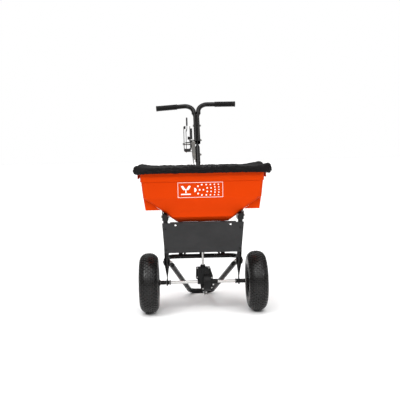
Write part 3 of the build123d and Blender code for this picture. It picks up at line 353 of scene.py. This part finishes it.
ORANGE = moulded("hopper_orange", (0.53, 0.037, 0.0003), 0.42, tint=0.05, shine=0.035)
POWDER = painted("powder_black", (0.0042, 0.0038, 0.0038), 0.27, (0.035, 0.033, 0.031), coat=0.0, shine=0.20)
CHARCOAL = painted(
    "shield_charcoal", (0.018, 0.018, 0.0188), 0.48, (0.12, 0.12, 0.12), 1300.0, 0.08, shine=0.22,
)
ENAMEL = painted("rim_enamel", (0.004, 0.004, 0.004), 0.28, (0.03, 0.028, 0.026), 500.0, 0.03, 0.02, 0.1)
OXIDE = painted("black_oxide", (0.007, 0.007, 0.007), 0.40, (0.08, 0.075, 0.07), shine=0.2)
ZINC = metal("zinc_plate", (0.36, 0.36, 0.35), 0.36)
DULL_ZINC = metal("dull_zinc", (0.09, 0.088, 0.084), 0.48, stain=0.4)
BRIGHT_X = metal("bright_bar_across", (0.60, 0.59, 0.575), 0.30, (0.03, 1.0, 1.0), 0.03)
BRIGHT_Z = metal("bright_bar_upright", (0.60, 0.59, 0.575), 0.30, (1.0, 1.0, 0.03), 0.03)
ROD_STEEL = metal("rod_steel", (0.42, 0.42, 0.41), 0.35, (1.0, 0.1, 0.1), 0.3)
GEAR_STEEL = metal("gear_steel", (0.30, 0.29, 0.28), 0.38, stain=0.5)
GATE_STEEL = metal("gate_steel", (0.55, 0.55, 0.55), 0.30, (1.0, 0.06, 1.0), 0.15)
HOUSING = moulded("gearbox_nylon", (0.006, 0.006, 0.0062), 0.42, 500.0, 0.2, 0.2, 0.15)
NYLON = moulded("black_nylon", (0.006, 0.006, 0.006), 0.40, shine=0.15)
KNOB = moulded("knob_plastic", (0.005, 0.005, 0.005), 0.32, shine=0.2)
IMPELLER = moulded("impeller_plastic", (0.030, 0.030, 0.031), 0.42)
TYRE = rubber("tyre_rubber", (0.0048, 0.0044, 0.0042), 0.33, 0.12, 0.34)
GRIP = rubber("grip_rubber", (0.0045, 0.0042, 0.0042), 0.50, 0.06, 0.15)
FABRIC = woven("cover_nylon", (0.0032, 0.0028, 0.0030))
INK = printed("label_ink", (0.93, 0.90, 0.86))
FLOOR = studio_floor("floor")

FINISHES = {
    "hopper_orange": ORANGE,
    "tube_black": POWDER,
    "shield_charcoal": CHARCOAL,
    "black_hardware": OXIDE,
    "zinc": ZINC,
    "bright_steel": BRIGHT_X,
    "gear_steel": GEAR_STEEL,
    "gearbox_black": HOUSING,
    "nylon": NYLON,
    "rim_black": ENAMEL,
    "tyre": TYRE,
    "valve_rubber": GRIP,
    "grip_rubber": GRIP,
    "knob_plastic": KNOB,
    "impeller_plastic": IMPELLER,
    "gate_steel": GATE_STEEL,
    "cover_fabric": FABRIC,
}
OWN_FINISH = {
    "control_angle": DULL_ZINC,
    "impeller_shaft": BRIGHT_Z,
    "control_rod": ROD_STEEL,
    "agitator": ROD_STEEL,
}


def finish_nodes():
    """Gives every CAD node its material, by the record's slot or its own entry."""
    for part in frame["record"]["subparts"]:
        node = NODES[part["node"]]
        material = OWN_FINISH.get(part["node"], FINISHES[part["material_slot"]])
        node.data.materials.clear()
        node.data.materials.append(material)


# ---- mesh helpers ----

def piece(name, shell, material, body, replaced=(), smooth=40.0):
    """Makes an object from a bmesh, shades it, and rides it on a body."""
    mesh = bpy.data.meshes.new(name)
    shell.to_mesh(mesh)
    shell.free()
    for polygon in mesh.polygons:
        polygon.use_smooth = True
    mesh.set_sharp_from_angle(angle=math.radians(smooth))
    mesh.materials.append(material)
    made = bpy.data.objects.new(name, mesh)
    bpy.context.scene.collection.objects.link(made)
    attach(made, body)
    if replaced:
        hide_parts(*replaced)
    return made


def join_rings(shell, rings, closed=True, around=True):
    """Faces between neighbouring rings of vertices."""
    count = len(rings[0])
    pairs = list(zip(rings, rings[1:]))
    if closed:
        pairs.append((rings[-1], rings[0]))
    for first, second in pairs:
        for index in range(count if around else count - 1):
            after = (index + 1) % count
            corners = [first[index], first[after], second[after], second[index]]
            if len(set(corners)) == 4:
                shell.faces.new(corners)


def block(shell, levels):
    """A closed block from levels of four corners each, the first and last capped."""
    rings = [[shell.verts.new(corner) for corner in level] for level in levels]
    join_rings(shell, rings, closed=False)
    shell.faces.new(rings[0][::-1])
    shell.faces.new(rings[-1])


def apply_modifiers(made):
    """Bakes an object's modifiers into its mesh."""
    graph = bpy.context.evaluated_depsgraph_get()
    mesh = bpy.data.meshes.new_from_object(made.evaluated_get(graph))
    old = made.data
    made.modifiers.clear()
    made.data = mesh
    bpy.data.meshes.remove(old)


# ---- tyres ----

TYRE_R = 165 * MM
TYRE_HALF = 53 * MM
CORNER = 46 * MM
FLANGE_R = 86 * MM
TREAD_DEEP = 4.6 * MM
BLOCKS_ROUND = 48
FLAT_HALF = TYRE_HALF - CORNER
ARC = CORNER * math.pi / 2
STRAIGHT = 4 * MM
ROWS = (6.3, 18.9, 31.5, 44.2)
SHOULDER = 56.6
BEAD = ((39.5, 5.0), (38.0, 9.0))


def tyre_section(along, lift=0.0):
    """A point of the tyre's outer section, (sideways, radius), by distance from the crown."""
    side = -1 if along < 0 else 1
    run = abs(along)
    high, low = TYRE_R - CORNER, TYRE_R - CORNER - STRAIGHT
    if run <= FLAT_HALF:
        return along, TYRE_R + lift - 0.6 * MM * (run / FLAT_HALF) ** 2
    if run <= FLAT_HALF + ARC:
        turn = (run - FLAT_HALF) / CORNER
        radius = CORNER + lift
        drop = 0.6 * MM * math.cos(turn)
        return side * (FLAT_HALF + radius * math.sin(turn)), high + radius * math.cos(turn) - drop
    if run <= FLAT_HALF + ARC + STRAIGHT:
        return side * (TYRE_HALF + lift), high - (run - FLAT_HALF - ARC)
    turn = (run - FLAT_HALF - ARC - STRAIGHT) / CORNER
    radius = CORNER + lift
    return side * (FLAT_HALF + radius * math.cos(turn)), low - radius * math.sin(turn)


def tyre_reach():
    """The distance from the crown at which the sidewall meets the rim's flange."""
    return FLAT_HALF + ARC + STRAIGHT + CORNER * math.asin((TYRE_R - CORNER - STRAIGHT - FLANGE_R) / CORNER)


def sidewall_lift(run):
    """Raised rings on the sidewall, and the groove floor under the tread blocks."""
    tread_edge = 63 * MM
    if run < tread_edge:
        fade = min(1.0, max(0.0, (tread_edge - run) / (8 * MM)))
        return -TREAD_DEEP * fade
    lift = 0.0
    for place, high, wide in ((69, 0.9, 1.4), (87, 0.7, 1.2), (100, 1.3, 3.0)):
        gap = (run / MM - place) / wide
        lift += high * MM * math.exp(-gap * gap)
    return lift - 1.2 * MM


def make_tyre(node, body):
    centre = middle(node)
    shell = bmesh.new()
    reach = tyre_reach()
    steps, around = 90, 144
    outline = []
    for index in range(steps + 1):
        along = -reach + 2 * reach * index / steps
        outline.append(tyre_section(along, sidewall_lift(abs(along))))
    for sideways in (1, -1):
        for half, sunk in BEAD:
            outline.append((sideways * half * MM, FLANGE_R - sunk * MM))
    outline[-2], outline[-1] = outline[-1], outline[-2]
    rings = []
    for index in range(around):
        angle = 2 * math.pi * index / around
        ring = []
        for sideways, radius in outline:
            ring.append(shell.verts.new(centre + on_wheel(sideways, radius, angle)))
        rings.append(ring)
    join_rings(shell, rings)
    pitch = 2 * math.pi / BLOCKS_ROUND
    for row, place in enumerate(ROWS):
        for side in (-1, 1):
            for index in range(BLOCKS_ROUND):
                angle = (index + 0.5 * ((row + (side > 0)) % 2)) * pitch
                tread_block(shell, centre, side * place * MM, 4.9 * MM, angle, 7.2 * MM, 0.25)
    for side in (-1, 1):
        for index in range(BLOCKS_ROUND):
            angle = (index + 0.5 * (side > 0)) * pitch
            tread_block(shell, centre, side * SHOULDER * MM, 5.4 * MM, angle, 5.0 * MM, 0.5)
    bmesh.ops.recalc_face_normals(shell, faces=shell.faces)
    piece(node + "_tread", shell, TYRE, body, (node,), 32.0)


def on_wheel(sideways, radius, angle):
    return Vector((sideways, radius * math.sin(angle), radius * math.cos(angle)))


def tread_block(shell, centre, place, half, angle, half_long, skew):
    """One tread block, its leading and trailing edges slanted, with a small chamfer round its top."""
    levels = []
    for lift, inset in ((-TREAD_DEEP - 1 * MM, -0.5 * MM), (-0.9 * MM, 0.0), (0.0, 0.8 * MM)):
        level = []
        for across, along in ((-1, -1), (1, -1), (1, 1), (-1, 1)):
            spot = place + across * (half - inset)
            sideways, radius = tyre_section(spot, lift)
            long = along * (half_long - inset) + skew * across * half * (1 if place > 0 else -1)
            level.append(centre + on_wheel(sideways, radius, angle + long / TYRE_R))
        levels.append(level)
    block(shell, levels)


# ---- hopper ----

HOPPER_WALL = 5 * MM
HOPPER_SECTIONS = (
    (517.0, 137.0, 135.0, 20.0),
    (545.0, 172.0, 163.0, 22.0),
    (578.0, 213.0, 165.0, 24.0),
    (647.0, 309.0, 185.0, 26.0),
    (730.5, 317.5, 192.0, 26.0),
    (733.0, 321.5, 197.0, 27.0),
    (796.0, 324.0, 201.0, 28.0),
)
CORNER_STEPS = 8
RIM_X, RIM_Y, RIM_CORNER = 337.0, 215.0, 52.0
RIM_TOP, RIM_LOW, LIP_LOW, LIP_WALL = 796.0, 770.0, 746.0, 3.0
SHAFT_HOLE = (0, 0, 12)
PORTS = ((-40, -45, 11), (40, -45, 11), (0, -60, 11))


def rounded_ring(half_x, half_y, corner, height, centre):
    """Points round a rounded rectangle, anticlockwise from the front right corner."""
    points = []
    for quarter, (sign_x, sign_y) in enumerate(((1, -1), (1, 1), (-1, 1), (-1, -1))):
        for step in range(CORNER_STEPS + 1):
            angle = math.radians(-90 + 90 * quarter + 90 * step / CORNER_STEPS)
            x = sign_x * (half_x - corner) + corner * math.cos(angle)
            y = sign_y * (half_y - corner) + corner * math.sin(angle)
            points.append(Vector((centre.x + x, centre.y + y, height)))
    return points


def make_hopper():
    centre = Vector((HOPPER_MID.x, HOPPER_MID.y, 0))
    shell = bmesh.new()
    wall = HOPPER_WALL / MM
    profile = []
    for z, half_x, half_y, corner in HOPPER_SECTIONS:
        profile.append((z, half_x, half_y, corner))
    profile[-1] = (792.5, 323.6, 200.6, 28.0)
    profile += [
        (792.5, 333.5, 211.5, 48.0), (RIM_LOW, RIM_X - LIP_WALL, RIM_Y - LIP_WALL, RIM_CORNER - LIP_WALL),
        (RIM_LOW, RIM_X, RIM_Y, RIM_CORNER), (RIM_TOP, RIM_X, RIM_Y, RIM_CORNER),
        (RIM_TOP, 324.0 - wall, 201.0 - wall, 24.0),
    ]
    for z, half_x, half_y, corner in reversed(HOPPER_SECTIONS[1:-1]):
        profile.append((z + 1.0, half_x - wall, half_y - wall, corner - 3.0))
    profile.append((521.0, 137.0 - wall + 3, 135.0 - wall + 3, 17.0))
    rings = []
    for z, half_x, half_y, corner in profile:
        points = rounded_ring(half_x * MM, half_y * MM, corner * MM, z * MM, centre)
        rings.append([shell.verts.new(point) for point in points])
    join_rings(shell, rings, closed=False)
    shell.faces.new(rings[0][::-1])
    shell.faces.new(rings[-1])
    add_wings(shell, centre)
    add_side_lips(shell, centre)
    bmesh.ops.recalc_face_normals(shell, faces=shell.faces)
    made = piece("hopper_tub", shell, ORANGE, "frame", ("hopper",), 35.0)
    cut_floor(made, centre)
    bevel = made.modifiers.new("soft_edges", "BEVEL")
    bevel.width = 1.4 * MM
    bevel.segments = 3
    bevel.limit_method = "ANGLE"
    bevel.angle_limit = math.radians(14)
    bevel.harden_normals = True
    apply_modifiers(made)
    return made


def slab_between(shell, outline, low, high, centre):
    """A flat plate: an outline in X and Z, from low to high in Y."""
    faces = []
    for y in (low, high):
        faces.append([shell.verts.new((centre.x + x * MM, centre.y + y * MM, z * MM)) for x, z in outline])
    join_rings(shell, faces, closed=False)
    shell.faces.new(faces[0][::-1])
    shell.faces.new(faces[1])


def add_wings(shell, centre):
    """The side skirts: an outer wall each, and recessed corner panels at the front and rear."""
    top_x, low_x, low_z, wall = 308.6, 299.0, 582.0, 4.0
    for side in (-1, 1):
        outer = ((top_x - wall, 647.0), (top_x, 647.0), (low_x, low_z), (low_x - wall, low_z))
        slab_between(shell, [(side * x, z) for x, z in outer], -152, 152, centre)
        panel = ((top_x - 2, 646.0), (low_x - 1, low_z), (219.5, low_z))
        for low, high in ((-152, -148), (148, 152)):
            slab_between(shell, [(side * x, z) for x, z in panel], low, high, centre)


def add_side_lips(shell, centre):
    """The rim's lip reaches lower along both sides."""
    for side in (-1, 1):
        inner = RIM_X - LIP_WALL
        outline = ((inner, RIM_LOW + 1.5), (RIM_X, RIM_LOW + 1.5), (RIM_X, LIP_LOW), (inner, LIP_LOW))
        slab_between(shell, [(side * x, z) for x, z in outline], -145, 145, centre)


def cut_floor(made, centre):
    """Cuts the shaft's hole and the three ports through the tub's floor."""
    cutter = bmesh.new()
    for x, y, radius in (SHAFT_HOLE, *PORTS):
        place = Matrix.Translation((centre.x + x * MM, centre.y + y * MM, 520 * MM))
        bmesh.ops.create_cone(
            cutter, cap_ends=True, segments=40, radius1=radius * MM, radius2=radius * MM,
            depth=30 * MM, matrix=place,
        )
    mesh = bpy.data.meshes.new("port_cutter")
    cutter.to_mesh(mesh)
    cutter.free()
    tool = bpy.data.objects.new("port_cutter", mesh)
    bpy.context.scene.collection.objects.link(tool)
    cut = made.modifiers.new("ports", "BOOLEAN")
    cut.object = tool
    cut.operation = "DIFFERENCE"
    cut.solver = "EXACT"
    cut.use_self = True
    apply_modifiers(made)
    bpy.data.objects.remove(tool)


# ---- cover ----

COVER_X, COVER_Y, COVER_CORNER = 340.5, 218.5, 56.0
HEM_Z = 778.0
COVER_TOP, ROLL_TOP = 801.5, 803.5
AROUND, DOWN = 1100, 40
CLOTH = 0.8 * MM


def perimeter_point(along):
    """A point and outward direction on the rim's rounded outline, along is 0 to 1."""
    straight_x = 2 * (COVER_X - COVER_CORNER)
    straight_y = 2 * (COVER_Y - COVER_CORNER)
    arc = COVER_CORNER * math.pi / 2
    total = 2 * (straight_x + straight_y) + 4 * arc
    run = (along % 1.0) * total
    for index, (x, y) in enumerate(((1, -1), (1, 1), (-1, 1), (-1, -1))):
        straight = straight_y if index % 2 == 0 else straight_x
        turn = math.radians(90 * index)
        out = Vector((math.cos(turn), math.sin(turn)))
        ahead = Vector((-out.y, out.x))
        start = Vector((x * (COVER_X - COVER_CORNER), y * (COVER_Y - COVER_CORNER))) + out * COVER_CORNER
        if run <= straight:
            return start + ahead * run, out
        run -= straight
        if run <= arc:
            pivot = Vector((x * (COVER_X - COVER_CORNER), y * (COVER_Y - COVER_CORNER))) + ahead * straight
            angle = turn + run / COVER_CORNER
            out = Vector((math.cos(angle), math.sin(angle)))
            return pivot + out * COVER_CORNER, out
        run -= arc
    return start + ahead * straight, out


def gather(along, offset=0.0):
    """How far the cloth's gathers stand out at a place along the hem, about 0 to 1."""
    spot = Vector((math.cos(2 * math.pi * along), math.sin(2 * math.pi * along), offset))
    warp = noise.noise(spot * 9.0 + Vector((7.1, 0, 0)))
    fine = noise.noise(spot * 30.0 + Vector((0, 3.3, warp)))
    broad = noise.noise(spot * 12.0 + Vector((1.7, 0, 4.0)))
    ridge = 1.0 - abs(2.0 * fine)
    return max(0.0, 0.85 * ridge + 0.05 + 0.9 * broad)


def corner_bulge(point):
    """1 near the rim's four corners, where the loose cloth bunches, and 0 elsewhere."""
    reach = Vector((abs(point.x) - COVER_X + 14, abs(point.y) - COVER_Y + 40)).length
    return (1.0 if point.x > 0 else 0.65) * math.exp(-(reach / 42.0) ** 2)


def front_lump(point):
    """How much higher the gathers stand along the middle of the front edge."""
    return 0.35 + 0.9 * (point.y < 0) * math.exp(-((point.x - 30.0) / 170.0) ** 2)


def make_cover():
    low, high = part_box("hopper_cover")
    centre = (low + high) / 2
    shell = bmesh.new()
    rings = []
    for step in range(DOWN + 1):
        rings.append(cover_ring(shell, step / DOWN, centre))
    join_rings(shell, rings, closed=False)
    hub = shell.verts.new((centre.x, centre.y, COVER_TOP * MM))
    inner = rings[0]
    for index in range(AROUND):
        shell.faces.new([inner[index], inner[(index + 1) % AROUND], hub])
    bmesh.ops.recalc_face_normals(shell, faces=shell.faces)
    made = piece("gathered_cover", shell, FABRIC, "cover", ("hopper_cover",), 180.0)
    thick = made.modifiers.new("cloth", "SOLIDIFY")
    thick.thickness = CLOTH
    thick.offset = 1.0
    apply_modifiers(made)
    return made


def cover_ring(shell, fraction, centre):
    """One ring of the cover, from near its middle (0) over the rim to the hem (1)."""
    ring = []
    for index in range(AROUND):
        along = index / AROUND
        point, out = perimeter_point(along)
        fold = gather(along)
        bulge = corner_bulge(point)
        if fraction < 0.5:
            inward = 1.0 - fraction / 0.5
            spread = 1.0 - 0.97 * inward
            flat = point * spread
            wave = noise.noise(Vector((flat.x, flat.y, 0)) * 0.011) * 2.5
            wave += noise.noise(Vector((flat.x, flat.y, 9)) * 0.03) * 1.2
            edge = max(0.0, 1.0 - inward * 5.0)
            rise = 2.0 + 10.0 * fold * front_lump(point) * (1 - 0.2 * edge) + 16.0 * bulge
            height = COVER_TOP + wave + edge * rise
            place = Vector((flat.x, flat.y, height))
        else:
            drop = (fraction - 0.5) / 0.5
            place = cover_edge(point, out, drop, fold, bulge, along)
        ring.append(shell.verts.new(Vector((centre.x, centre.y, 0)) + place * MM))
    return ring


def cover_edge(point, out, drop, fold, bulge, along):
    """The roll over the rim and the gathered skirt below it, drop is 0 at the top and 1 at the hem."""
    turn = math.radians(90 - 172 * drop)
    pleat = gather(along, 0.35 + 0.5 * drop)
    top = ROLL_TOP + 8.0 * fold * front_lump(point) + 16.0 * bulge
    hem = HEM_Z - 3.0 * pleat - 7.0 * bulge
    half_out = 4.0 + 4.5 * pleat + 15.0 * bulge
    crease = noise.noise(Vector((along * 300.0, drop * 2.0, 0.0))) * 1.2
    outward = (half_out + crease) * max(0.0, math.cos(turn)) ** 0.75 + 1.0
    height = (top + hem) / 2 + (top - hem) / 2 * math.sin(turn)
    return Vector((point.x + out.x * outward, point.y + out.y * outward, height))


# ---- grips ----

GRIP_INSET = 0.8 * MM
GRIP_BORE, GRIP_GROOVE, GRIP_RIB, GRIP_COLLAR = 15.1, 17.1, 18.0, 18.5
RIB_PITCH, RIB_START = 6.0, 9.0


def make_grips():
    """A ribbed sleeve from the open end to the closed end of each CAD grip."""
    points = [vertex.co for vertex in NODES["handle_grips"].data.vertices]
    for side, name in ((-1, "grip_left"), (1, "grip_right")):
        own = [point for point in points if point.x * side > 0]
        near_x, far_x = min(abs(point.x) for point in own), max(abs(point.x) for point in own)
        ends = []
        for low, high in ((near_x - 1 * MM, near_x + 5 * MM), (far_x - 5 * MM, far_x + 1 * MM)):
            ring = [point for point in own if low <= abs(point.x) <= high]
            middle_of_ring = []
            for axis in (1, 2):
                reach = [point[axis] for point in ring]
                middle_of_ring.append((min(reach) + max(reach)) / 2)
            ends.append(middle_of_ring)
        root = Vector((side * (near_x + GRIP_INSET), *ends[0]))
        tip = Vector((side * (far_x - GRIP_INSET), *ends[1]))
        grip_piece(name, root, tip)


def grip_piece(name, root, tip):
    axis = (tip - root).normalized()
    length = (tip - root).length
    up = Vector((0, 0, 1)).cross(axis).normalized()
    other = axis.cross(up)
    shell = bmesh.new()
    rings = []
    outline = [(0.0, GRIP_BORE), (0.0, 17.7), (1.2, GRIP_COLLAR), (5.0, GRIP_COLLAR), (6.2, GRIP_GROOVE)]
    last = length / MM
    run = RIB_START
    while run < last - 16:
        outline += [(run, GRIP_GROOVE), (run + 0.9, GRIP_RIB)]
        outline += [(run + 3.1, GRIP_RIB), (run + 4.0, GRIP_GROOVE)]
        run += RIB_PITCH
    outline += [(last - 11, 17.3), (last - 9, GRIP_COLLAR), (last - 2.5, GRIP_COLLAR), (last - 0.6, 17.4)]
    outline += [(last, 14.4), (last, 0.4)]
    for along, radius in outline:
        ring = []
        for index in range(48):
            angle = 2 * math.pi * index / 48
            spoke = up * math.cos(angle) + other * math.sin(angle)
            ring.append(shell.verts.new(root + axis * along * MM + spoke * radius * MM))
        rings.append(ring)
    join_rings(shell, rings, closed=False)
    shell.faces.new(rings[-1])
    shell.faces.new(rings[0][::-1])
    bmesh.ops.recalc_face_normals(shell, faces=shell.faces)
    return piece(name, shell, GRIP, "frame", ("handle_grips",), 35.0)


# ---- label ----

LABEL_X, LABEL_WIDE = -11.0, 234.0
LABEL_LOW, LABEL_HIGH = 648.0, 727.0


def on_front(x, z, proud=0.25):
    """A point on the tub's front face."""
    (low_z, _, low_y, _), (high_z, _, high_y, _) = HOPPER_SECTIONS[3:5]
    y = low_y + (z - low_z) * (high_y - low_y) / (high_z - low_z)
    return Vector((HOPPER_MID.x + x * MM, HOPPER_MID.y - (y + proud) * MM, z * MM))


def print_shape(shell, outline):
    """A thin raised patch of ink on the tub's front, from an outline in X and Z."""
    back = [shell.verts.new(on_front(x, z, -0.3)) for x, z in outline]
    front = [shell.verts.new(on_front(x, z, 0.25)) for x, z in outline]
    join_rings(shell, [back, front], closed=False)
    shell.faces.new(back[::-1])
    shell.faces.new(front)


def arc_band(x, z, inner, outer, start, end, steps=14):
    """An outline of a bent band between two angles."""
    points = []
    for radius, order in ((outer, range(steps + 1)), (inner, range(steps, -1, -1))):
        for index in order:
            angle = math.radians(start + (end - start) * index / steps)
            points.append((x + radius * math.cos(angle), z + radius * math.sin(angle)))
    return points


def disc(x, z, radius, steps=20):
    return arc_band(x, z, 0.0, radius, 0, 360, steps)[:steps]


def make_label():
    shell = bmesh.new()
    left, right = LABEL_X - LABEL_WIDE / 2, LABEL_X + LABEL_WIDE / 2
    line = 1.8
    for low_z, high_z in ((LABEL_LOW, LABEL_LOW + line), (LABEL_HIGH - line, LABEL_HIGH)):
        print_shape(shell, [(left, low_z), (right, low_z), (right, high_z), (left, high_z)])
    for low_x, high_x in ((left, left + line), (right - line, right)):
        outline = [(low_x, LABEL_LOW + line), (high_x, LABEL_LOW + line)]
        outline += [(high_x, LABEL_HIGH - line), (low_x, LABEL_HIGH - line)]
        print_shape(shell, outline)
    middle_z = (LABEL_LOW + LABEL_HIGH) / 2
    sprout(shell, left + 42, middle_z - 25)
    scatter(shell, left + 86, middle_z)
    bmesh.ops.recalc_face_normals(shell, faces=shell.faces)
    piece("hopper_label", shell, INK, "frame", (), 30.0)


def sprout(shell, x, z):
    """Two leaves on a stem over a strip of ground."""
    print_shape(shell, [(x - 25, z), (x + 25, z), (x + 25, z + 6), (x - 25, z + 6)])
    print_shape(shell, [(x - 2.6, z + 9), (x + 2.6, z + 9), (x + 2.6, z + 31), (x - 2.6, z + 31)])
    for side in (-1, 1):
        leaf = []
        steps = 12
        for index in range(steps + 1):
            part = index / steps
            leaf.append((x + side * (3 + 22 * part), z + 27 + 18 * part + 10 * math.sin(math.pi * part)))
        for index in range(steps - 1, 0, -1):
            part = index / steps
            leaf.append((x + side * (3 + 22 * part), z + 27 + 18 * part - 9 * math.sin(math.pi * part)))
        print_shape(shell, leaf if side > 0 else leaf[::-1])


def scatter(shell, x, z):
    """Grains thrown out in a fan from a small half disc."""
    print_shape(shell, arc_band(x, z, 0.0, 11.0, -90, 90, 12)[:13])
    for ring, radius in enumerate((27.0, 47.0, 67.0, 87.0, 107.0, 127.0)):
        count = 3 + ring // 2
        spread = math.degrees(math.asin(min(0.72, 27.0 / radius)))
        for index in range(count):
            angle = math.radians(-spread + 2 * spread * index / (count - 1))
            place = (x + radius * math.cos(angle), z + radius * math.sin(angle))
            print_shape(shell, disc(*place, 4.4 - 0.25 * ring, 14))


# ---- build ----

make_camera()
make_lights()
make_floor()
finish_nodes()
make_tyre("drive_wheel_tyre", "drive_axle")
make_tyre("free_wheel_tyre", "free_wheel")
make_hopper()
make_cover()
make_grips()
make_label()
